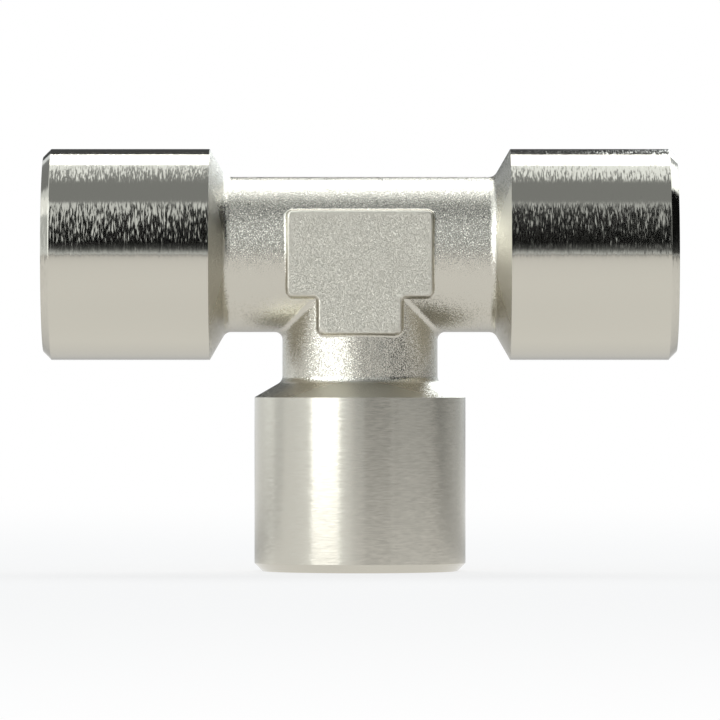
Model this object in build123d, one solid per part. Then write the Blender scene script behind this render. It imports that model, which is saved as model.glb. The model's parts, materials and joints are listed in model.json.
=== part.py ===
from build123d import *

import os
from math import cos, radians, sin, tan

# Tee with three threaded sockets, in millimetres. +Z is up and the run lies along X. The
# origin is the centre of the branch's end face, on which the tee stands.

# Reach of the sockets
run_length = 51.0
branch_length = 25.5

# Inside: each socket is drilled for a 1/4 inch parallel pipe thread
flow_diameter = 8.0
thread_bore_diameter = 11.8
thread_bore_depth = 12.0
drill_point_angle = 118.0
mouth_chamfer = 0.9
mouth_angle = 90.0

# Outside: turned sockets and shoulders on forged necks
neck_wall = 2.25
socket_wall = 2.6
run_socket_length = 13.4
branch_socket_length = 14.0
end_chamfer = 0.65
shoulder_angle = 60.0
shoulder_fillet = 0.7
mitre_fillet = 0.6

# T-shaped pad, forged on the front and on the back of the junction
pad_height = 0.35
pad_bar_length = 11.6
pad_bar_above_axis = 3.4
pad_bar_below_axis = 3.4
pad_stem_width = 6.6
pad_stem_below_axis = 6.4
pad_draft = 6.0
pad_outer_corner = 0.45
pad_inner_corner = 0.4
pad_rim_chamfer = 0.1

# Short cones that the rounded root of each shoulder is turned in, to keep its faces few
root_steps = 4

# How near an edge has to lie to be taken for the one that is meant
same_place = 0.001

flow_radius = flow_diameter / 2
neck_radius = flow_radius + neck_wall
thread_bore_radius = thread_bore_diameter / 2
socket_radius = thread_bore_radius + socket_wall
run_reach = run_length / 2
junction = Location((0, 0, branch_length))


def cone_length(rise, angle):
    """Length along the axis in which a cone at this angle to its axis gains so much radius."""
    return rise / tan(radians(angle))


def nearest_corner(face, x, y):
    """The corner of the face that lies nearest to this point."""
    return face.vertices().sort_by_distance((x, y, 0))[0]


def shoulder_root(neck_end):
    """Points, as length and radius, along the rounded root between a neck and its cone.

    They lie on an arc that touches both, which would otherwise meet at neck_end.
    """
    bend = radians(shoulder_angle)
    start = neck_end - shoulder_fillet * tan(bend / 2)
    turns = [bend * step / root_steps for step in range(root_steps + 1)]
    return [
        (start + shoulder_fillet * sin(turn), neck_radius + shoulder_fillet * (1 - cos(turn)))
        for turn in turns
    ]


def outside_of_arm(reach, socket_length):
    """Neck, shoulder cone and chamfered socket, turned about X from the junction outwards."""
    socket_start = reach - socket_length
    neck_end = socket_start - cone_length(socket_radius - neck_radius, shoulder_angle)
    outline = Polyline(
        (0, 0),
        (0, neck_radius),
        *shoulder_root(neck_end),
        (socket_start, socket_radius),
        (reach - end_chamfer, socket_radius),
        (reach, socket_radius - end_chamfer),
        (reach, 0),
        close=True,
    )
    return revolve(make_face(outline), Axis.X)


def inside_of_arm(reach):
    """Flow passage, drill point, bore for the thread and countersunk mouth, about X."""
    drill_end = reach - thread_bore_depth
    point_length = cone_length(thread_bore_radius - flow_radius, drill_point_angle / 2)
    mouth_start = reach - cone_length(mouth_chamfer, mouth_angle / 2)
    outline = Polyline(
        (0, 0),
        (reach, 0),
        (reach, thread_bore_radius + mouth_chamfer),
        (mouth_start, thread_bore_radius),
        (drill_end, thread_bore_radius),
        (drill_end - point_length, flow_radius),
        (0, flow_radius),
        close=True,
    )
    return revolve(make_face(outline), Axis.X)


def tee_of(run_arm, branch_arm):
    """Two run arms and a branch arm, turned from +X to their directions at the junction."""
    right = junction * run_arm
    left = junction * Rot(0, 180, 0) * run_arm
    down = junction * Rot(0, 90, 0) * branch_arm
    return right + left + down


def pad_outline():
    """The T of the pad with rounded corners, the run's axis lying at zero height."""
    bar_half = pad_bar_length / 2
    stem_half = pad_stem_width / 2
    bar_height = pad_bar_above_axis + pad_bar_below_axis
    bar_middle = (pad_bar_above_axis - pad_bar_below_axis) / 2
    bar = Pos(0, bar_middle) * Rectangle(pad_bar_length, bar_height)
    stem = Pos(0, -pad_stem_below_axis / 2) * Rectangle(pad_stem_width, pad_stem_below_axis)
    outline = bar + stem
    outer = [
        nearest_corner(outline, side * half, height)
        for side in (-1, 1)
        for half, height in (
            (bar_half, pad_bar_above_axis),
            (bar_half, -pad_bar_below_axis),
            (stem_half, -pad_stem_below_axis),
        )
    ]
    outline = fillet(outer, pad_outer_corner)
    inner = [nearest_corner(outline, side * stem_half, -pad_bar_below_axis) for side in (-1, 1)]
    return fillet(inner, pad_inner_corner)


def front_pad():
    """The pad as forged: flat face, softened rim and drafted walls that run into the necks."""
    face_plane = Plane(
        origin=(0, -neck_radius - pad_height, branch_length),
        x_dir=(1, 0, 0),
        z_dir=(0, -1, 0),
    )
    depth = pad_height + neck_radius / 2
    pad = extrude(face_plane * pad_outline(), -depth)
    walls = pad.faces().sort_by(Axis.Y)[1:-1]
    pad = draft(walls, face_plane, pad_draft)
    rim = pad.faces().sort_by(Axis.Y)[0].edges()
    return chamfer(rim, pad_rim_chamfer)


def lies_on_mitre(edge):
    """Whether this edge is where a run neck meets the branch neck, at 45 degrees to both."""
    points = [edge @ share for share in (0, 0.5, 1)]
    return all(abs(abs(p.X) - (branch_length - p.Z)) < same_place for p in points)


outside = tee_of(
    outside_of_arm(run_reach, run_socket_length),
    outside_of_arm(branch_length, branch_socket_length),
)
pad = front_pad()
forging = outside + pad + mirror(pad, Plane.XZ)
forging = fillet([edge for edge in forging.edges() if lies_on_mitre(edge)], mitre_fillet)

tee_body = forging - tee_of(inside_of_arm(run_reach), inside_of_arm(branch_length))
tee_body.label = "tee_body"

os.makedirs("parts", exist_ok=True)
export_step(tee_body, "parts/tee_body.step")
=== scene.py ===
"""Threaded tee in nickel-plated brass: its finished surfaces, a studio and the camera.

The tee is one piece. Its surfaces are worked out in millimetres from the point where the axes
of its three arms cross, which is called the junction, and are put together as one closed mesh.
"""

import json

import bpy
import numpy as np
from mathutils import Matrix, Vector


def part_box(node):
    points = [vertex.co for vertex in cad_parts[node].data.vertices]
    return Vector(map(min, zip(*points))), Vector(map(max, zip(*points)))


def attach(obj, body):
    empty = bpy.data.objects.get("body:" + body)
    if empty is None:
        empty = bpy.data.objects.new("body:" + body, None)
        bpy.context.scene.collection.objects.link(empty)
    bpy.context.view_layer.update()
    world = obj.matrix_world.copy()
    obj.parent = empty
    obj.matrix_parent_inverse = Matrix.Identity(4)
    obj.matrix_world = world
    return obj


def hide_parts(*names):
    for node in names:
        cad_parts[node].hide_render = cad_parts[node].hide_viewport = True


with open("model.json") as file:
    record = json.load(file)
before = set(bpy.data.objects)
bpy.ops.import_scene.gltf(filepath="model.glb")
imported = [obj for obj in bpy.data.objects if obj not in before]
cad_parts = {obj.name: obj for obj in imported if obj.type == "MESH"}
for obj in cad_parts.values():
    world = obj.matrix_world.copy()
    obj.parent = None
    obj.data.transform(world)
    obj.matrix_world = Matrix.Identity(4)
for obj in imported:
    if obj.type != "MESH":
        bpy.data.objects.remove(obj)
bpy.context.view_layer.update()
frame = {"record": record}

MM = 0.001

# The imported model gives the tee's reach and the place of its threads
NODE = "tee_body"
node_low, node_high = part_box(NODE)
mounts = {mount["name"]: mount for mount in frame["record"]["mounts"]}
right_port = mounts["right_port"]
axis_height = round(right_port["pos_m"][2] / MM, 3)
reach = round(node_high.x / MM, 2)
socket_radius = round(node_high.y / MM, 1)
bore_radius = right_port["dims"]["r_mm"]
mouth_chamfer = round(reach - right_port["pos_m"][0] / MM - right_port["dims"]["length_mm"] / 2, 3)

# Outside, as in the part's source, with the small roundings that turning and forging leave
neck_radius = 6.25
socket_length = {"run": 13.4, "branch": 14.0}
shoulder_slope = np.radians(60.0)
end_chamfer = 0.65
shoulder_fillet = 0.7
mitre_fillet = 0.6
socket_edge_rounding = 0.12
chamfer_rounding = 0.06

# T-shaped pad on the front and on the back
pad_face = 6.6
pad_bar_half = 5.8
pad_bar_half_height = 3.4
pad_stem_half = 3.3
pad_stem_below = 6.4
pad_draft = np.radians(6.0)
pad_outer_corner = 0.45
pad_inner_corner = 0.4
pad_rim_rounding = 0.12
pad_base_fillet = 0.25

# Inside: G 1/4 parallel pipe thread, with the 55 degree rounded form, and the drilled passages
flow_radius = 4.0
thread_depth = 12.0
drill_slope = np.radians(59.0)
thread_pitch = 1.337
thread_half_angle = np.radians(27.5)
thread_pitch_radius = 6.1505
thread_root_rounding = 0.137329 * thread_pitch
full_thread_depth = 9.5
tap_lead_depth = 11.5

# Where the arms' even grids take over from the junction's own grid
arm_start = 8.0
even_start = 8.4
around = np.linspace(0.0, 2.0 * np.pi, 97)

FORGED, TURNED_RUN, TURNED_BRANCH, TAPPED = range(4)


def unit(vectors):
    """Each vector divided by its own length."""
    return vectors / np.linalg.norm(vectors, axis=-1, keepdims=True)


def grid_corners(rows, columns):
    """Vertex numbers of the triangles of a grid of points, each of its cells cut in two."""
    number = np.arange(rows * columns).reshape(rows, columns)
    a = number[:-1, :-1].ravel()
    b = number[1:, :-1].ravel()
    c = number[1:, 1:].ravel()
    d = number[:-1, 1:].ravel()
    return np.concatenate([np.stack([a, b, c], 1), np.stack([a, c, d], 1)])


class Surface:
    """Gathers patches of points with their normals and finish, and welds them to one mesh."""

    def __init__(self):
        self.points = []
        self.normals = []
        self.corners = []
        self.finishes = []
        self.count = 0

    def add(self, points, normals, corners, finish):
        """Adds points with their outward normals, and the triangles between them."""
        self.points.append(points.reshape(-1, 3))
        self.normals.append(normals.reshape(-1, 3))
        self.corners.append(corners + self.count)
        self.finishes.append(np.full(len(corners), finish))
        self.count += len(self.points[-1])

    def add_grid(self, points, normals, finish):
        """Adds a grid of points, as rows by columns, with the cells between them."""
        self.add(points, normals, grid_corners(*points.shape[:2]), finish)

    def object(self, name, materials):
        """The welded mesh as an object in metres, standing at its place in the part's frame.

        Points that round to the same tenth of a micrometre become one, and triangles that
        have lost a side are dropped. A triangle that looks against its points' normals is
        turned round. Each corner keeps the normal of its own patch, so edges between patches
        and doubled rows inside them stay crisp.
        """
        points = np.concatenate(self.points)
        normals = unit(np.concatenate(self.normals))
        corners = np.concatenate(self.corners)
        finishes = np.concatenate(self.finishes)
        keys = np.rint(points * 1e4 + 0.137).astype(np.int64)
        _, kept, merged = np.unique(keys, axis=0, return_index=True, return_inverse=True)
        merged = merged.ravel()[corners]
        apart = (merged != np.roll(merged, 1, axis=1)).all(axis=1)
        merged = merged[apart]
        corners = corners[apart]
        finishes = finishes[apart]
        places = points[kept]
        a, b, c = (places[merged[:, i]] for i in range(3))
        facing = np.cross(b - a, c - a)
        backward = (facing * normals[corners].sum(axis=1)).sum(axis=1) < 0
        merged[backward] = merged[backward][:, ::-1]
        corners[backward] = corners[backward][:, ::-1]
        mesh = bpy.data.meshes.new(name)
        mesh.vertices.add(len(places))
        placed = (places + (0.0, 0.0, axis_height)) * MM
        mesh.vertices.foreach_set("co", placed.astype(np.float32).ravel())
        mesh.loops.add(merged.size)
        mesh.loops.foreach_set("vertex_index", merged.astype(np.int32).ravel())
        mesh.polygons.add(len(merged))
        mesh.polygons.foreach_set("loop_start", np.arange(0, merged.size, 3, dtype=np.int32))
        mesh.polygons.foreach_set("use_smooth", np.ones(len(merged), dtype=bool))
        for material in materials:
            mesh.materials.append(material)
        mesh.polygons.foreach_set("material_index", finishes.astype(np.int32))
        mesh.update(calc_edges=True)
        mesh.validate()
        mesh.normals_split_custom_set(normals[corners].reshape(-1, 3).tolist())
        made = bpy.data.objects.new(name, mesh)
        bpy.context.scene.collection.objects.link(made)
        return made


# Arms: surfaces turned about the axis of each arm


def arm_frame(direction):
    """Two directions across an arm and the one along it, which make a right-handed frame."""
    along = np.array(direction, dtype=float)
    first = np.array([0.0, 1.0, 0.0])
    return first, np.cross(along, first), along


def turned(direction, lengths, radii, length_normals, radius_normals, angles):
    """Points and normals of a profile turned about an arm's axis.

    A point is its length times the arm's direction, plus its radius times the direction
    across the arm at its angle. All five inputs broadcast to rows by columns.
    """
    first, second, along = arm_frame(direction)
    across = np.cos(angles)[..., None] * first + np.sin(angles)[..., None] * second
    points = lengths[..., None] * along + radii[..., None] * across
    normals = length_normals[..., None] * along + radius_normals[..., None] * across
    return points, normals


def rounded_profile(corners, roundings, turn_step=np.radians(9.0)):
    """Length, radius and normal along a line of corners that are rounded to tangent arcs.

    Between two arcs the line is straight. On an arc the tangent turns evenly from one side's
    direction to the other's, and the point is the arc's start plus the rounding times the
    change of the tangent's sine and cosine. The normal is the tangent turned to the left. A
    corner with no rounding gets its point twice, once with each side's normal.
    """
    corners = np.array(corners, dtype=float)
    sides = np.diff(corners, axis=0)
    headings = np.arctan2(sides[:, 1], sides[:, 0])
    places = [corners[:1]]
    tangents = [headings[:1]]
    for i, rounding in enumerate(roundings):
        before = headings[i]
        turn = (headings[i + 1] - before + np.pi) % (2.0 * np.pi) - np.pi
        steps = max(2, int(np.ceil(abs(turn) / turn_step)) + 1)
        heading = before + turn * np.linspace(0.0, 1.0, steps)
        setback = rounding * np.tan(abs(turn) / 2.0)
        start = corners[i + 1] - setback * np.array([np.cos(before), np.sin(before)])
        swing = np.stack(
            [np.sin(heading) - np.sin(before), np.cos(before) - np.cos(heading)], axis=1
        )
        places.append(start + np.sign(turn) * rounding * swing)
        tangents.append(heading)
    places.append(corners[-1:])
    tangents.append(headings[-1:])
    places = np.concatenate(places)
    tangents = np.concatenate(tangents)
    return places[:, 0], places[:, 1], -np.sin(tangents), np.cos(tangents)


def add_turned(surface, direction, corners, roundings, finish):
    """Adds a rounded profile turned once round an arm's axis."""
    length, radius, length_normal, radius_normal = rounded_profile(corners, roundings)
    points, normals = turned(
        direction,
        length[:, None] + 0.0 * around,
        radius[:, None] + 0.0 * around,
        length_normal[:, None] + 0.0 * around,
        radius_normal[:, None] + 0.0 * around,
        around + 0.0 * length[:, None],
    )
    surface.add_grid(points, normals, finish)


def thread_form(offset):
    """Radius of the full thread form, and its slope, at an offset along the axis from a root.

    Near the root it is the root's arc. From the arc's end it falls in a straight flank at the
    half angle, and at the crest it is cut flat at the bore's radius.
    """
    away = np.abs(offset)
    sharp_root = thread_pitch_radius + thread_pitch / 4.0 / np.tan(thread_half_angle)
    flank = sharp_root - away / np.tan(thread_half_angle)
    centre = sharp_root - thread_root_rounding / np.sin(thread_half_angle)
    arc_end = thread_root_rounding * np.cos(thread_half_angle)
    rise = np.sqrt(np.maximum(thread_root_rounding**2 - away**2, 1e-12))
    on_arc = away < arc_end - 1e-9
    radius = np.where(on_arc, centre + rise, flank)
    slope = np.where(on_arc, -offset / rise, -np.sign(offset) / np.tan(thread_half_angle))
    return radius, slope


def add_thread(surface, direction):
    """Adds a right-handed internal thread, from inside the countersunk mouth to its run-out.

    Its grid lines climb with the helix: the length is a row's own length plus the pitch times
    the share of a turn. Rows are set where the form bends, and twice where it has an edge.
    The radius is the thread form's, held under the cone of the tap's lead and over both the
    bore and the countersink. A row that runs past either end of the bore is held on its ring.
    The normal is minus the gradient of radius less form, in which a helical form also has a
    part round the axis: its slope times the pitch over the circumference.
    """
    start = reach - thread_depth
    end = reach - 0.2
    sharp_root = thread_pitch_radius + thread_pitch / 4.0 / np.tan(thread_half_angle)
    arc_end = thread_root_rounding * np.cos(thread_half_angle)
    crest_start = (sharp_root - bore_radius) * np.tan(thread_half_angle)
    half_pitch = thread_pitch / 2.0
    side = np.array([0.0, 0.36, 0.7, 1.0]) * arc_end
    side = np.concatenate([side, np.linspace(arc_end, crest_start, 4)[1:]])
    offsets = np.concatenate([-side[::-1], side[1:]])
    on_crest = np.array([crest_start, half_pitch, thread_pitch - crest_start])
    offsets = np.concatenate([offsets, on_crest])
    flat = np.arange(len(offsets)) >= len(offsets) - len(on_crest)
    turns = np.arange(np.floor((start - thread_pitch) / thread_pitch) - 1.0,
                      np.ceil(end / thread_pitch) + 1.0)
    row_root = np.repeat(turns * thread_pitch, len(offsets))[:, None]
    row_offset = np.tile(offsets, len(turns))[:, None]
    row_flat = np.tile(flat, len(turns))[:, None]
    climb = thread_pitch * around / (2.0 * np.pi)
    length = np.clip(row_root + row_offset + climb, start, end)
    radius, slope = thread_form(row_offset + 0.0 * length)
    radius = np.where(row_flat, bore_radius, radius)
    slope = np.where(row_flat, 0.0, slope)
    helical = np.ones_like(length)
    depth = reach - length
    root_radius = thread_form(np.zeros(1))[0]
    lead_slope = (root_radius - bore_radius) / (tap_lead_depth - full_thread_depth)
    lead = root_radius - (depth - full_thread_depth) * lead_slope
    in_lead = lead < radius
    radius = np.where(in_lead, lead, radius)
    slope = np.where(in_lead, lead_slope, slope)
    helical = np.where(in_lead, 0.0, helical)
    in_bore = radius <= bore_radius
    radius = np.where(in_bore, bore_radius, radius)
    slope = np.where(in_bore, 0.0, slope)
    countersink = bore_radius + mouth_chamfer - depth
    in_mouth = countersink >= radius
    radius = np.where(in_mouth, countersink, radius)
    slope = np.where(in_mouth, 1.0, slope)
    helical = np.where(in_mouth, 0.0, helical)
    twist = helical * slope * thread_pitch / (2.0 * np.pi * radius)
    angles = around + 0.0 * length
    points, normals = turned(direction, length, radius, slope, -np.ones_like(length), angles)
    first, second, along = arm_frame(direction)
    round_about = np.cos(angles)[..., None] * second - np.sin(angles)[..., None] * first
    normals = normals - twist[..., None] * round_about
    surface.add_grid(points, normals, TAPPED)


def add_arm(surface, direction, kind, turned_finish):
    """Adds one arm: forged neck and shoulder, turned socket and face, thread and drill point."""
    socket_start = reach - socket_length[kind]
    neck_end = socket_start - (socket_radius - neck_radius) / np.tan(shoulder_slope)
    mouth_radius = bore_radius + mouth_chamfer
    add_turned(
        surface,
        direction,
        [(even_start, neck_radius), (neck_end, neck_radius), (socket_start, socket_radius)],
        [shoulder_fillet],
        FORGED,
    )
    add_turned(
        surface,
        direction,
        [
            (socket_start, socket_radius),
            (reach - end_chamfer, socket_radius),
            (reach, socket_radius - end_chamfer),
            (reach, mouth_radius),
            (reach - 0.2, mouth_radius - 0.2),
        ],
        [chamfer_rounding, chamfer_rounding, chamfer_rounding],
        turned_finish,
    )
    add_thread(surface, direction)
    drill_end = reach - thread_depth
    passage_end = drill_end - (bore_radius - flow_radius) / np.tan(drill_slope)
    add_turned(
        surface,
        direction,
        [(drill_end, bore_radius), (passage_end, flow_radius)],
        [],
        TAPPED,
    )
    return passage_end


def add_zip(surface, direction, angles, finish):
    """Adds the band between the junction's own ring of an arm and the arm's first even ring.

    Walking round both rings at once, each edge takes as its third corner the point of the
    other ring that the walk has reached by then.
    """
    sizes = [len(angles), len(around)]
    length = np.concatenate([np.full(sizes[0], arm_start), np.full(sizes[1], even_start)])
    angle = np.concatenate([angles, around])
    zero = np.zeros_like(angle)
    points, normals = turned(direction, length, zero + neck_radius, zero, zero + 1.0, angle)
    inner_edge = np.arange(sizes[0] - 1)
    outer_edge = np.arange(sizes[1] - 1)
    outer_reached = np.searchsorted(around[1:], angles[1:], "left")
    inner_reached = np.searchsorted(angles[1:], around[1:], "right")
    corners = np.concatenate(
        [
            np.stack([inner_edge, inner_edge + 1, outer_reached + sizes[0]], 1),
            np.stack([outer_edge + sizes[0], outer_edge + 1 + sizes[0], inner_reached], 1),
        ]
    )
    surface.add(points, normals, corners, finish)


# Junction: the forged body between the arms, with its mitre fillets and its pads


def lines_between(edges, counts):
    """Places from the first edge to the last one, with so many even steps between each pair."""
    parts = [
        np.linspace(edges[i], edges[i + 1], count, endpoint=False)
        for i, count in enumerate(counts)
    ]
    return np.concatenate([*parts, [edges[-1]]])


def squeezed_lines(lines, fixed_from, ends):
    """Lines from the arm's ring to each end, kept where they are wherever there is room.

    Lines beyond fixed_from keep their share of the way from the ring to fixed_from, which
    itself moves outward once less than four fifths of the way is left for it. The others keep
    their share of the rest of the way. Rows are the lines and columns the ends.
    """
    room = np.minimum(arm_start - fixed_from, 0.8 * (arm_start - ends))
    turning = arm_start - room
    outer = arm_start - (arm_start - lines[:, None]) / (arm_start - fixed_from) * room
    inner = turning - (fixed_from - lines[:, None]) / fixed_from * (turning - ends)
    return np.where(lines[:, None] >= fixed_from, outer, inner)


def pad_outline_distance(x, z):
    """Distance outside the pad's T outline on its face, negative inside.

    The bar and the stem are rectangles with rounded corners, and the two corners between them
    are filled to an arc: its radius less the distance from the arc's centre.
    """

    def rounded_box(across, up, half_width, half_height):
        beyond_x = np.abs(across) - half_width + pad_outer_corner
        beyond_z = np.abs(up) - half_height + pad_outer_corner
        outside = np.hypot(np.maximum(beyond_x, 0.0), np.maximum(beyond_z, 0.0))
        return outside + np.minimum(np.maximum(beyond_x, beyond_z), 0.0) - pad_outer_corner

    bar = rounded_box(x, z, pad_bar_half, pad_bar_half_height)
    stem = rounded_box(x, z + pad_stem_below / 2.0, pad_stem_half, pad_stem_below / 2.0)
    filled = pad_inner_corner - np.hypot(pad_inner_corner - bar, pad_inner_corner - stem)
    near_both = (bar < pad_inner_corner) & (stem < pad_inner_corner)
    return np.where(near_both, filled, np.minimum(bar, stem))


def pad_distance(x, height, z):
    """Distance outside the pad's solid and its normal, at a height off the middle plane.

    The walls lean outwards from the face by the draft, and the rim between wall and face is
    rounded: a rounding is taken off a solid that is drawn in by as much.
    """
    step = 1e-4
    outline = pad_outline_distance(x, z)
    to_x = pad_outline_distance(x + step, z) - pad_outline_distance(x - step, z)
    to_z = pad_outline_distance(x, z + step) - pad_outline_distance(x, z - step)
    size = np.maximum(np.hypot(to_x, to_z), 1e-9)
    wall = (outline - (pad_face - height) * np.tan(pad_draft)) * np.cos(pad_draft)
    wall_normal = np.stack(
        [
            to_x / size * np.cos(pad_draft),
            np.full_like(x, np.sin(pad_draft)),
            to_z / size * np.cos(pad_draft),
        ],
        axis=-1,
    )
    top_normal = np.array([0.0, 1.0, 0.0])
    past_wall = wall + pad_rim_rounding
    past_top = height - pad_face + pad_rim_rounding
    beyond = np.hypot(np.maximum(past_wall, 0.0), np.maximum(past_top, 0.0))
    distance = np.minimum(np.maximum(past_wall, past_top), 0.0) + beyond - pad_rim_rounding
    by_wall = np.where(beyond > 0.0, np.maximum(past_wall, 0.0), past_wall > past_top)
    by_top = np.where(beyond > 0.0, np.maximum(past_top, 0.0), past_wall <= past_top)
    normal = unit(by_wall[..., None] * wall_normal + by_top[..., None] * top_normal)
    return distance, normal


def pad_blend(x, height, z, base_height, base_normal):
    """Distance outside base and pad together, whose meeting is filled by a rolling ball.

    Where the ball touches both, the distance is its radius less the way to its centre. That
    way is a sum of the two normals, whose weights follow from how far each distance falls
    short of the radius. Elsewhere the smaller distance holds.
    """
    ball = pad_base_fillet
    base = (height - base_height) * base_normal[..., 1]
    pad, pad_normal = pad_distance(x, height, z)
    cosine = np.clip((base_normal * pad_normal).sum(axis=-1), -0.999, 0.999)
    spread = 1.0 - cosine**2
    base_weight = ((ball - base) - cosine * (ball - pad)) / spread
    pad_weight = ((ball - pad) - cosine * (ball - base)) / spread
    way = base_weight[..., None] * base_normal + pad_weight[..., None] * pad_normal
    touching = (base_weight > 0.0) & (pad_weight > 0.0)
    distance = np.where(touching, ball - np.linalg.norm(way, axis=-1), np.minimum(base, pad))
    nearer = np.where((base < pad)[..., None], base_normal, pad_normal)
    return distance, np.where(touching[..., None], way, nearer)


def raise_pad(points, normals):
    """Points of the base moved straight out, off the middle plane, to the pad and its fillet.

    The height is halved down to where the distance outside base and pad is nothing. Here the
    second coordinate is the height off the middle plane, the same on the front and the back.
    """
    x, base_height, z = (points[..., i] for i in range(3))
    low = base_height.copy()
    high = np.full_like(low, pad_face + 0.1)
    for _ in range(44):
        middle = (low + high) / 2.0
        distance, _ = pad_blend(x, middle, z, base_height, normals)
        low = np.where(distance > 0.0, low, middle)
        high = np.where(distance > 0.0, middle, high)
    _, raised_normal = pad_blend(x, high, z, base_height, normals)
    raised = (base_height > pad_face / 2.0) & (high > base_height + 1e-6)
    height = np.where(raised, high, base_height)
    raised_points = np.stack([x, height, z], axis=-1)
    return raised_points, np.where(raised[..., None], unit(raised_normal), normals)


def upper_quarter(lines, angles):
    """The run neck over its axis, from the arm's ring to the middle.

    The height over the axis is the neck's radius times the sine of the angle, and the depth
    the radius times its cosine. Rows are places along the run and columns are angles.
    """
    x = -lines[:, None] + 0.0 * angles
    up = np.sin(angles) + 0.0 * x
    out = np.cos(angles) + 0.0 * x
    points = np.stack([x, neck_radius * out, neck_radius * up], axis=-1)
    return points, np.stack([0.0 * x, out, up], axis=-1)


def lower_quarter(run_lines, branch_lines, angles, arc_steps=8):
    """A run neck and the branch neck under the axes, and the fillet on the mitre between them.

    For one angle, a line goes along the run at depth minus radius times sine until a ball in
    the crook touches, round the ball, and down the branch at as much width. The ball's centre
    lies the radius and the ball's own from both axes, and its surface point is the centre less
    the ball's radius times a normal that turns evenly from the run's to the branch's.
    """
    sine, cosine = np.sin(angles), np.cos(angles)
    ends = (neck_radius + mitre_fillet) * sine
    run_x = -squeezed_lines(run_lines, 5.5, ends)
    branch_z = -squeezed_lines(branch_lines, 6.15, ends)[::-1]
    flat = np.zeros_like(run_x)
    run_points = np.stack([run_x, flat + neck_radius * cosine, flat - neck_radius * sine], -1)
    run_normals = np.stack([flat, flat + cosine, flat - sine], -1)
    flat = np.zeros_like(branch_z)
    branch_points = np.stack(
        [flat - neck_radius * sine, flat + neck_radius * cosine, branch_z], -1
    )
    branch_normals = np.stack([flat - sine, flat + cosine, flat], -1)
    zero = np.zeros_like(sine)
    first = np.stack([zero, cosine, -sine], -1)
    last = np.stack([-sine, cosine, zero], -1)
    opening = np.arccos(np.clip((first * last).sum(-1), -1.0, 1.0))
    safe = np.where(opening > 1e-6, np.sin(opening), 1.0)
    share = np.linspace(0.0, 1.0, arc_steps + 1)[:, None]
    from_first = np.where(opening > 1e-6, np.sin((1.0 - share) * opening) / safe, 1.0 - share)
    from_last = np.where(opening > 1e-6, np.sin(share * opening) / safe, share)
    arc_normals = from_first[..., None] * first + from_last[..., None] * last
    centre = (neck_radius + mitre_fillet) * np.stack([-sine, cosine, -sine], -1)
    arc_points = centre - mitre_fillet * arc_normals
    points = np.concatenate([run_points, arc_points, branch_points])
    return points, np.concatenate([run_normals, arc_normals, branch_normals])


def add_junction(surface):
    """Adds the forged body between the arms, as one corner mirrored left and right, front
    and back, and the bands that join it to the arms."""
    wall_place = lines_between([0.0, 1.1, 2.2, 3.14, 3.76, 4.5, 5.3, 5.9, neck_radius],
                               [2, 2, 2, 18, 3, 4, 4, 4])
    angles = np.arcsin(np.clip(wall_place / neck_radius, 0.0, 1.0))
    run_lines = lines_between([arm_start, 6.4, 6.3, 5.6, 5.5, 0.0], [2, 1, 20, 1, 8])
    branch_lines = lines_between([arm_start, 7.05, 6.95, 6.25, 6.15, 0.0], [2, 1, 20, 1, 8])
    for quarter in (
        upper_quarter(run_lines, angles),
        lower_quarter(run_lines, branch_lines, angles),
    ):
        points, normals = raise_pad(*quarter)
        for side in (1.0, -1.0):
            for face in (1.0, -1.0):
                mirror = np.array([side, face, 1.0])
                surface.add_grid(points * mirror, normals * mirror, FORGED)
    whole = np.concatenate(
        [angles, np.pi - angles[::-1][1:], np.pi + angles[1:], 2.0 * np.pi - angles[::-1][1:]]
    )
    for direction in arm_directions:
        add_zip(surface, direction, whole, FORGED)


def add_passages(surface, passage_end):
    """Adds the three flow passages, which meet under the axes in two crisp mitres.

    Over the axis the run passage is a half tube. Under it a run passage goes to the mitre,
    where its width equals its depth, the radius times the sine of the angle, and the branch
    passage goes down from there.
    """
    over = np.pi + np.linspace(0.0, np.pi, 49)
    along = np.array([-passage_end, 0.0, passage_end])[:, None]
    x = along + 0.0 * over
    out, up = np.cos(over) + 0.0 * x, -np.sin(over) + 0.0 * x
    half_tube = np.stack([x, flow_radius * out, flow_radius * up], -1)
    surface.add_grid(half_tube, np.stack([0.0 * x, -out, -up], -1), TAPPED)
    under = np.linspace(0.0, np.pi / 2.0, 25)
    sine, cosine = flow_radius * np.sin(under), flow_radius * np.cos(under)
    far = np.full_like(sine, passage_end)
    zero = np.zeros_like(sine)
    run = np.stack([np.stack([far, cosine, -sine], -1), np.stack([sine, cosine, -sine], -1)])
    run_normal = np.stack([zero, -cosine, sine], -1)
    branch = np.stack([np.stack([sine, cosine, -sine], -1), np.stack([sine, cosine, -far], -1)])
    branch_normal = np.stack([-sine, -cosine, zero], -1)
    for points, normal in ((run, run_normal), (branch, branch_normal)):
        for side in (1.0, -1.0):
            for face in (1.0, -1.0):
                mirror = np.array([side, face, 1.0])
                surface.add_grid(
                    points * mirror, np.stack([normal, normal]) * mirror, TAPPED
                )


arm_directions = [(1.0, 0.0, 0.0), (-1.0, 0.0, 0.0), (0.0, 0.0, -1.0)]
surface = Surface()
for direction, kind, finish in zip(
    arm_directions, ["run", "run", "branch"], [TURNED_RUN, TURNED_RUN, TURNED_BRANCH]
):
    passage_end = add_arm(surface, direction, kind, finish)
add_junction(surface)
add_passages(surface, passage_end)



def linear(code):
    """Linear colour of an sRGB hex code."""
    part = np.array([int(code[i : i + 2], 16) for i in (1, 3, 5)]) / 255.0
    value = np.where(part <= 0.04045, part / 12.92, ((part + 0.055) / 1.055) ** 2.4)
    return (*value.tolist(), 1.0)


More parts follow.
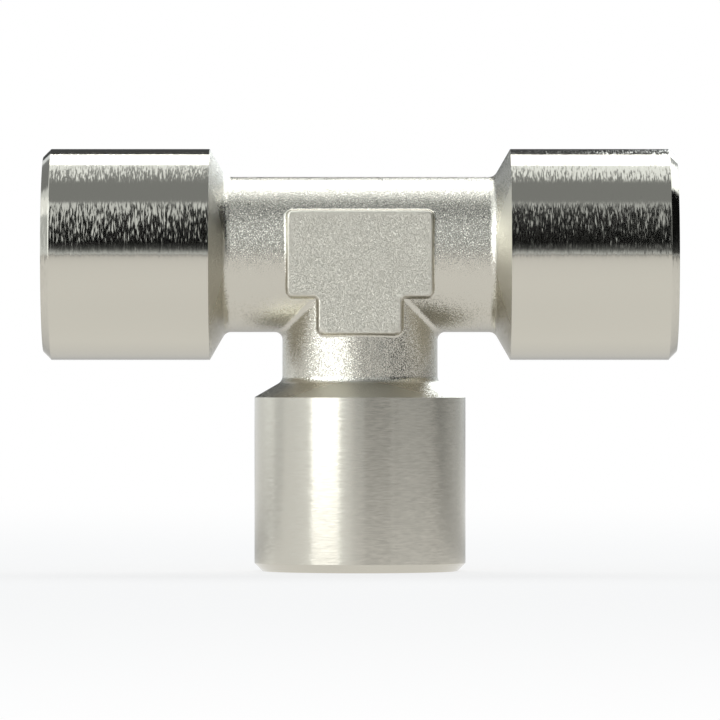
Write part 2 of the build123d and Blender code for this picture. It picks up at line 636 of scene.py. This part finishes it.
def add_node(tree, kind, inputs=None, **settings):
    """Adds a node to a tree and returns it.

    Settings are the node's own properties. Inputs maps a socket, by name or number, to its
    constant or to the output that feeds it.
    """
    node = tree.nodes.new(kind)
    for name, value in settings.items():
        setattr(node, name, value)
    for socket, value in (inputs or {}).items():
        if isinstance(value, bpy.types.NodeSocket):
            tree.links.new(value, node.inputs[socket])
        else:
            node.inputs[socket].default_value = value
    return node


# Finishes. One bright, faintly yellow nickel lies over brass that was forged, turned or tapped
nickel_colour = linear("#c8c4b8")
bare_brass_colour = linear("#c2a468")


def start_metal(name):
    """A material with a metallic shader, and the place on the tee in millimetres.

    The place is counted from the junction, so the axes of all three arms pass through zero.
    """
    material = bpy.data.materials.new(name)
    material.use_nodes = True
    tree = material.node_tree
    tree.nodes.clear()
    shader = add_node(
        tree, "ShaderNodeBsdfPrincipled", {"Base Color": nickel_colour, "Metallic": 1.0}
    )
    add_node(tree, "ShaderNodeOutputMaterial", {"Surface": shader.outputs["BSDF"]})
    object_place = add_node(tree, "ShaderNodeTexCoord").outputs["Object"]
    place = add_node(
        tree,
        "ShaderNodeVectorMath",
        {0: object_place, 1: (1.0 / MM, 1.0 / MM, 1.0 / MM), 2: (0.0, 0.0, -axis_height)},
        operation="MULTIPLY_ADD",
    ).outputs["Vector"]
    return material, tree, shader, place


def tilt_normal(tree, shader, tilts):
    """Gives a shader the surface's normal plus each direction times its amount, made a unit."""
    total = add_node(tree, "ShaderNodeNewGeometry").outputs["Normal"]
    for direction, amount in tilts:
        part = add_node(
            tree, "ShaderNodeVectorMath", {0: direction, "Scale": amount}, operation="SCALE"
        ).outputs["Vector"]
        total = add_node(
            tree, "ShaderNodeVectorMath", {0: total, 1: part}, operation="ADD"
        ).outputs["Vector"]
    normal = add_node(tree, "ShaderNodeVectorMath", {0: total}, operation="NORMALIZE")
    tree.links.new(normal.outputs["Vector"], shader.inputs["Normal"])


def turned_nickel(name, axis, across_tilt, along_tilt, roughness):
    """Bright nickel over the tool marks of a lathe, which run round an axis.

    To the eye: reflections keep their height but break up sideways into short fine streaks.
    Marks are 0.11 mm wide, as a finishing feed leaves them, and 0.7 mm long. A 4D noise whose
    fourth place is the radius gives the chamfers and faces marks of their own.
    """
    mark_width, mark_length = 0.11, 0.7
    material, tree, shader, place = start_metal(name)
    round_axis = add_node(
        tree, "ShaderNodeVectorMath", {0: axis, 1: place}, operation="CROSS_PRODUCT"
    ).outputs["Vector"]
    along_mark = add_node(
        tree, "ShaderNodeVectorMath", {0: round_axis}, operation="NORMALIZE"
    ).outputs["Vector"]
    radius = add_node(
        tree, "ShaderNodeVectorMath", {0: round_axis}, operation="LENGTH"
    ).outputs["Value"]
    normal = add_node(tree, "ShaderNodeNewGeometry").outputs["Normal"]
    across_mark = add_node(
        tree, "ShaderNodeVectorMath", {0: along_mark, 1: normal}, operation="CROSS_PRODUCT"
    ).outputs["Vector"]
    drawn_out = add_node(
        tree,
        "ShaderNodeVectorMath",
        {0: place, 1: tuple(1.0 / (mark_width if a else mark_length) for a in axis)},
        operation="MULTIPLY",
    ).outputs["Vector"]
    ring = add_node(
        tree, "ShaderNodeMath", {0: radius, 1: 1.0 / mark_width}, operation="MULTIPLY"
    ).outputs["Value"]
    marks = add_node(
        tree,
        "ShaderNodeTexNoise",
        {"Vector": drawn_out, "W": ring, "Scale": 1.0, "Detail": 2.0, "Roughness": 0.55},
        noise_dimensions="4D",
    ).outputs["Color"]
    parts = add_node(tree, "ShaderNodeSeparateColor", {"Color": marks}).outputs
    tilts = []
    for direction, part, tilt in (
        (across_mark, parts["Red"], across_tilt),
        (along_mark, parts["Green"], along_tilt),
    ):
        amount = add_node(
            tree,
            "ShaderNodeMath",
            {0: part, 1: tilt, 2: -tilt / 2.0},
            operation="MULTIPLY_ADD",
        ).outputs["Value"]
        tilts.append((direction, amount))
    tilt_normal(tree, shader, tilts)
    dulled = add_node(
        tree,
        "ShaderNodeMapRange",
        {
            "Value": parts["Blue"],
            "From Min": 0.3,
            "From Max": 0.7,
            "To Min": roughness * 0.8,
            "To Max": roughness * 1.2,
        },
    ).outputs["Result"]
    tree.links.new(dulled, shader.inputs["Roughness"])
    return material


def forged_nickel(name):
    """Satin nickel over a forging that was cleaned by blasting.

    To the eye: broad soft reflections with a fine even sparkle. The dimples are 0.07 mm
    across, as fine steel shot leaves them. The pads face the shot squarely and are duller.
    """
    dimple = 0.07
    material, tree, shader, place = start_metal(name)
    grain = add_node(
        tree,
        "ShaderNodeTexNoise",
        {"Vector": place, "Scale": 1.0 / dimple, "Detail": 1.0, "Roughness": 0.5},
        noise_dimensions="3D",
    ).outputs["Color"]
    either_way = add_node(
        tree, "ShaderNodeVectorMath", {0: grain, 1: (0.5, 0.5, 0.5)}, operation="SUBTRACT"
    ).outputs["Vector"]
    off_middle = add_node(
        tree, "ShaderNodeVectorMath", {0: place}, operation="ABSOLUTE"
    ).outputs["Vector"]
    parts = add_node(tree, "ShaderNodeSeparateXYZ", {0: off_middle}).outputs
    duller_on_pads = add_node(
        tree,
        "ShaderNodeMapRange",
        {
            "Value": parts["Y"],
            "From Min": neck_radius + 0.05,
            "From Max": pad_face - 0.1,
            "To Min": 0.24,
            "To Max": 0.4,
        },
    ).outputs["Result"]
    tree.links.new(duller_on_pads, shader.inputs["Roughness"])
    tilt_normal(tree, shader, [(either_way, 1.0)])
    return material


def tapped_nickel(name):
    """Nickel that thins out in the threads and passages, where little plating reaches.

    To the eye: nickel at the mouths turns to yellow brass in the depth of the bores, with
    the tap's scratches round each bore, 0.12 mm wide and 0.8 mm long.
    """
    scratch_width, scratch_length = 0.12, 0.8
    material, tree, shader, place = start_metal(name)
    off_junction = add_node(
        tree, "ShaderNodeVectorMath", {0: place}, operation="ABSOLUTE"
    ).outputs["Vector"]
    parts = add_node(tree, "ShaderNodeSeparateXYZ", {0: off_junction}).outputs
    towards_mouth = add_node(
        tree, "ShaderNodeMath", {0: parts["X"], 1: parts["Z"]}, operation="MAXIMUM"
    ).outputs["Value"]
    in_run = add_node(
        tree, "ShaderNodeMath", {0: parts["X"], 1: parts["Z"]}, operation="GREATER_THAN"
    ).outputs["Value"]
    across, along = 1.0 / scratch_width, 1.0 / scratch_length
    # The vector sockets of a Mix node are its fifth and sixth
    scratch_scale = add_node(
        tree,
        "ShaderNodeMix",
        {"Factor": in_run, 4: (along, along, across), 5: (across, along, along)},
        data_type="VECTOR",
    ).outputs[1]
    drawn_out = add_node(
        tree, "ShaderNodeVectorMath", {0: place, 1: scratch_scale}, operation="MULTIPLY"
    ).outputs["Vector"]
    scratches = add_node(
        tree,
        "ShaderNodeTexNoise",
        {"Vector": drawn_out, "Scale": 1.0, "Detail": 2.0, "Roughness": 0.55},
        noise_dimensions="3D",
    ).outputs["Color"]
    either_way = add_node(
        tree, "ShaderNodeVectorMath", {0: scratches, 1: (0.5, 0.5, 0.5)}, operation="SUBTRACT"
    ).outputs["Vector"]
    tilt_normal(tree, shader, [(either_way, 0.25)])
    plated = add_node(
        tree,
        "ShaderNodeMapRange",
        {"Value": towards_mouth, "From Min": reach - 10.0, "From Max": reach - 2.0},
        interpolation_type="SMOOTHSTEP",
    ).outputs["Result"]
    # The colour sockets of a Mix node are its seventh and eighth
    colour = add_node(
        tree,
        "ShaderNodeMix",
        {"Factor": plated, 6: bare_brass_colour, 7: nickel_colour},
        data_type="RGBA",
    ).outputs[2]
    tree.links.new(colour, shader.inputs["Base Color"])
    shader.inputs["Roughness"].default_value = 0.2
    return material


tee = surface.object(
    "tee_finished",
    [
        forged_nickel("nickel_on_blasted_forging"),
        turned_nickel("nickel_on_turned_run", (1.0, 0.0, 0.0), 0.2, 0.05, 0.09),
        turned_nickel("nickel_on_turned_branch", (0.0, 0.0, 1.0), 0.03, 0.07, 0.17),
        tapped_nickel("nickel_in_tapped_bore"),
    ],
)
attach(tee, "root")
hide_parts(NODE)


# Studio: three softboxes over and beside a white floor


def softbox(name, target, distance, turn, rise, width, height, radiance):
    """An area lamp that faces a target and shows the same radiance all over.

    It stands off the target by the distance, turned so far to the camera's right from the
    front and raised so far over the floor, both in degrees. Its energy is radiance times pi
    times its area.
    """
    turn, rise = np.radians(turn), np.radians(rise)
    outwards = Vector(
        (np.sin(turn) * np.cos(rise), -np.cos(turn) * np.cos(rise), np.sin(rise))
    )
    data = bpy.data.lights.new(name, "AREA")
    data.shape = "RECTANGLE"
    data.size = width
    data.size_y = height
    data.energy = radiance * np.pi * width * height
    lamp = bpy.data.objects.new(name, data)
    bpy.context.scene.collection.objects.link(lamp)
    lamp.location = Vector(target) + distance * outwards
    lamp.rotation_euler = outwards.to_track_quat("Z", "Y").to_euler()
    lamp.visible_camera = False


run_middle = (0.0, 0.0, axis_height * MM)
branch_middle = (0.0, 0.0, 0.007)
softbox("softbox_behind", run_middle, 0.7, 170.0, 53.2, 0.7, 0.315, 2.9)
softbox("softbox_left", branch_middle, 0.4, -38.0, 4.5, 0.225, 0.08, 1.8)
softbox("softbox_far_left", run_middle, 0.6, -104.0, 24.0, 0.12, 0.085, 0.35)

floor_half = 4.0
floor_mesh = bpy.data.meshes.new("floor")
floor_mesh.from_pydata(
    [
        (-floor_half, -floor_half, 0.0),
        (floor_half, -floor_half, 0.0),
        (floor_half, floor_half, 0.0),
        (-floor_half, floor_half, 0.0),
    ],
    [],
    [(0, 1, 2, 3)],
)
floor = bpy.data.objects.new("floor", floor_mesh)
bpy.context.scene.collection.objects.link(floor)

# White paint. The camera and the metal see it as a white glow over a share of real paint, which
# keeps the tee's shadow. The glow that the metal sees carries painted shade: it falls off behind
# the tee, and far away in front and to the right, where the room is darker
paint = bpy.data.materials.new("white_floor_paint")
paint.use_nodes = True
tree = paint.node_tree
tree.nodes.clear()
path = add_node(tree, "ShaderNodeLightPath").outputs
place = add_node(tree, "ShaderNodeTexCoord").outputs["Object"]
parts = add_node(tree, "ShaderNodeSeparateXYZ", {0: place}).outputs
distance = add_node(
    tree, "ShaderNodeVectorMath", {0: place}, operation="LENGTH"
).outputs["Value"]
paint_diffuse = add_node(tree, "ShaderNodeBsdfDiffuse", {"Color": linear("#f2f2f2")})
# Painted shade in the glow the metal sees: a dark band behind the tee, deepest a few centimetres
# back
painted_shade_just_behind = add_node(
    tree,
    "ShaderNodeMapRange",
    {"Value": parts["Y"], "From Min": 0.002, "From Max": 0.045, "To Min": 1.0, "To Max": 0.56},
).outputs["Result"]
further_behind = add_node(
    tree,
    "ShaderNodeMapRange",
    {"Value": parts["Y"], "From Min": 0.08, "From Max": 0.25, "To Min": 0.0, "To Max": 0.44},
).outputs["Result"]
behind = add_node(
    tree, "ShaderNodeMath", {0: painted_shade_just_behind, 1: further_behind}, operation="ADD"
).outputs["Value"]
# Painted shade in the glow the metal sees: dimmer far from the tee, except to the left
far_level = add_node(
    tree,
    "ShaderNodeMapRange",
    {"Value": parts["X"], "From Min": -0.3, "From Max": -0.08, "To Min": 0.9, "To Max": 0.35},
    interpolation_type="SMOOTHSTEP",
).outputs["Result"]
far_share = add_node(
    tree, "ShaderNodeMapRange", {"Value": distance, "From Min": 0.05, "From Max": 1.2}
).outputs["Result"]
painted_far_shade = add_node(
    tree, "ShaderNodeMix", {"Factor": far_share, "A": 1.0, "B": far_level}, data_type="FLOAT"
).outputs["Result"]
glow_with_painted_shade = add_node(
    tree, "ShaderNodeMath", {0: behind, 1: painted_far_shade}, operation="MULTIPLY"
).outputs["Value"]
glow_level = add_node(
    tree,
    "ShaderNodeMix",
    {"Factor": path["Is Camera Ray"], "A": glow_with_painted_shade, "B": 1.0},
    data_type="FLOAT",
).outputs["Result"]
glow = add_node(
    tree, "ShaderNodeEmission", {"Color": (1.0, 1.0, 1.0, 1.0), "Strength": glow_level}
)
camera_share = add_node(
    tree,
    "ShaderNodeMapRange",
    {"Value": distance, "From Min": 0.05, "From Max": 0.35, "To Min": 0.75, "To Max": 1.0},
    interpolation_type="SMOOTHSTEP",
).outputs["Result"]
glow_share = add_node(
    tree,
    "ShaderNodeMix",
    {"Factor": path["Is Camera Ray"], "A": 0.92, "B": camera_share},
    data_type="FLOAT",
).outputs["Result"]
seen_directly = add_node(
    tree,
    "ShaderNodeMath",
    {0: path["Is Camera Ray"], 1: path["Is Glossy Ray"]},
    operation="MAXIMUM",
).outputs["Value"]
seen_at_all = add_node(
    tree,
    "ShaderNodeMath",
    {0: seen_directly, 1: path["Is Transmission Ray"]},
    operation="MAXIMUM",
).outputs["Value"]
share = add_node(
    tree, "ShaderNodeMath", {0: seen_at_all, 1: glow_share}, operation="MULTIPLY"
).outputs["Value"]
painted = add_node(
    tree,
    "ShaderNodeMixShader",
    {0: share, 1: paint_diffuse.outputs["BSDF"], 2: glow.outputs["Emission"]},
)
add_node(tree, "ShaderNodeOutputMaterial", {"Surface": painted.outputs["Shader"]})
floor_mesh.materials.append(paint)

# Room: white to the camera. The metal sees it white with flags hung in front of it. A place in
# the room is its roll, from the front of the floor over the top to the back, and its side, which
# goes from minus one at the far left to one at the far right
world = bpy.data.worlds.new("studio_room")
bpy.context.scene.world = world
world.use_nodes = True
tree = world.node_tree
tree.nodes.clear()
path = add_node(tree, "ShaderNodeLightPath").outputs
place = add_node(tree, "ShaderNodeTexCoord").outputs["Generated"]
parts = add_node(tree, "ShaderNodeSeparateXYZ", {0: place}).outputs
frontwards = add_node(
    tree, "ShaderNodeMath", {0: parts["Y"], 1: -1.0}, operation="MULTIPLY"
).outputs["Value"]
roll = add_node(
    tree, "ShaderNodeMath", {0: parts["Z"], 1: frontwards}, operation="ARCTAN2"
).outputs["Value"]


def hang_flag(light, level, rolls, roll_soft, centre, half_widths, side_soft):
    """The light of the room with one flag hung in it, whose own light is the level.

    The flag spans two rolls, in degrees. Its half width to each side of its centre goes
    evenly from the first value at the first roll to the second at the last one. Each edge is
    a smooth step as wide as its softness, and the flag's share is the product of the steps.
    """
    aside = add_node(
        tree, "ShaderNodeMath", {0: parts["X"], 1: centre}, operation="SUBTRACT"
    ).outputs["Value"]
    aside = add_node(
        tree, "ShaderNodeMath", {0: aside}, operation="ABSOLUTE"
    ).outputs["Value"]
    half_width = add_node(
        tree,
        "ShaderNodeMapRange",
        {
            "Value": roll,
            "From Min": np.radians(rolls[0]),
            "From Max": np.radians(rolls[1]),
            "To Min": half_widths[0],
            "To Max": half_widths[1],
        },
    ).outputs["Result"]
    outside = add_node(
        tree, "ShaderNodeMath", {0: aside, 1: half_width}, operation="SUBTRACT"
    ).outputs["Value"]
    first_soft, last_soft = np.radians(roll_soft[0]) / 2.0, np.radians(roll_soft[1]) / 2.0
    first, last = np.radians(rolls[0]), np.radians(rolls[1])
    flag_share = 1.0
    for value, nothing, all_of_it in (
        (roll, first - first_soft, first + first_soft),
        (roll, last + last_soft, last - last_soft),
        (outside, side_soft / 2.0, -side_soft / 2.0),
    ):
        step = add_node(
            tree,
            "ShaderNodeMapRange",
            {"Value": value, "From Min": nothing, "From Max": all_of_it},
            interpolation_type="SMOOTHSTEP",
        ).outputs["Result"]
        flag_share = add_node(
            tree, "ShaderNodeMath", {0: flag_share, 1: step}, operation="MULTIPLY"
        ).outputs["Value"]
    return add_node(
        tree, "ShaderNodeMix", {"Factor": flag_share, "A": light, "B": level}, data_type="FLOAT"
    ).outputs["Result"]


light = 1.0
# Overhead light, brighter than the room
light = hang_flag(light, 1.42, (84.0, 117.0), (8.0, 4.0), 0.0, (2.0, 2.0), 0.05)
# Tall strip light to the left of the camera, and a brighter one further round
light = hang_flag(light, 3.1, (4.0, 66.0), (6.0, 14.0), -0.555, (0.285, 0.25), 0.04)
light = hang_flag(light, 5.6, (18.0, 86.0), (12.0, 12.0), -0.84, (0.09, 0.09), 0.04)
# Low dark walls in front and to the right, and at the far right dark ones over a grey one
light = hang_flag(light, 0.14, (2.0, 14.0), (10.0, 3.0), 0.0, (0.13, 0.13), 0.1)
light = hang_flag(light, 0.05, (0.0, 12.0), (2.0, 4.0), 0.33, (0.25, 0.25), 0.04)
light = hang_flag(light, 0.05, (0.0, 179.0), (2.0, 2.0), 1.0, (0.4, 0.4), 0.04)
light = hang_flag(light, 0.005, (100.0, 134.0), (8.0, 4.0), 1.0, (0.25, 0.25), 0.04)
light = hang_flag(light, 0.36, (0.0, 9.0), (2.0, 4.0), 0.87, (0.21, 0.21), 0.06)
# Black flag over the camera, wide at the horizon and narrow on top, and a grey one beside it
light = hang_flag(light, 0.7, (7.0, 66.0), (6.0, 6.0), 0.178, (0.13, 0.13), 0.04)
light = hang_flag(light, 0.005, (6.5, 60.0), (13.0, 20.0), 0.012, (0.102, 0.024), 0.03)
# Grey ceiling band over the camera, carried on by a dark wedge in the overhead light
light = hang_flag(light, 0.33, (58.0, 88.0), (4.0, 8.0), 0.04, (0.24, 0.24), 0.1)
light = hang_flag(light, 0.12, (48.0, 94.0), (8.0, 8.0), 0.32, (0.19, 0.19), 0.08)
light = hang_flag(light, 0.33, (80.0, 118.0), (4.0, 4.0), -0.01, (0.056, 0.0), 0.015)
# Behind the tee: dark in the middle, bright panels to the right and grey ones to the left
light = hang_flag(light, 0.08, (141.0, 179.0), (2.0, 2.0), -0.13, (0.17, 0.17), 0.02)
light = hang_flag(light, 0.62, (137.0, 172.0), (3.0, 3.0), 0.41, (0.36, 0.36), 0.03)
light = hang_flag(light, 3.2, (137.0, 170.0), (3.0, 3.0), 0.2, (0.15, 0.15), 0.03)
light = hang_flag(light, 2.2, (129.0, 153.0), (3.0, 3.0), 0.56, (0.22, 0.22), 0.03)
light = hang_flag(light, 0.3, (127.0, 172.0), (3.0, 3.0), -0.58, (0.2, 0.16), 0.05)
light = hang_flag(light, 2.0, (157.0, 178.0), (3.0, 2.0), -0.86, (0.09, 0.09), 0.03)
light = hang_flag(light, 0.7, (86.0, 122.0), (4.0, 4.0), -1.0, (0.08, 0.08), 0.02)
seen_by_floor = 0.6
seen_by_others = add_node(
    tree,
    "ShaderNodeMix",
    {"Factor": path["Is Glossy Ray"], "A": seen_by_floor, "B": light},
    data_type="FLOAT",
).outputs["Result"]
level = add_node(
    tree,
    "ShaderNodeMix",
    {"Factor": path["Is Camera Ray"], "A": seen_by_others, "B": 1.0},
    data_type="FLOAT",
).outputs["Result"]
colour = add_node(
    tree,
    "ShaderNodeMix",
    {"Factor": path["Is Camera Ray"], 6: linear("#f5fbff"), 7: linear("#ffffff")},
    data_type="RGBA",
).outputs[2]
background = add_node(tree, "ShaderNodeBackground", {"Color": colour, "Strength": level})
add_node(tree, "ShaderNodeOutputWorld", {"Surface": background.outputs["Background"]})

# Camera: level with the middle of the tee, from the front, with the photograph's long lens
camera_data = bpy.data.cameras.new("camera")
camera = bpy.data.objects.new("camera", camera_data)
bpy.context.scene.collection.objects.link(camera)
camera.location = (0.0, -0.685, 0.017)
camera.rotation_euler = (np.pi / 2.0, 0.0, 0.0)
camera_data.lens = 425.0
camera_data.sensor_width = 36.0
camera_data.clip_start = 0.01
camera_data.clip_end = 10.0
bpy.context.scene.camera = camera
bpy.context.scene.view_settings.view_transform = "Standard"
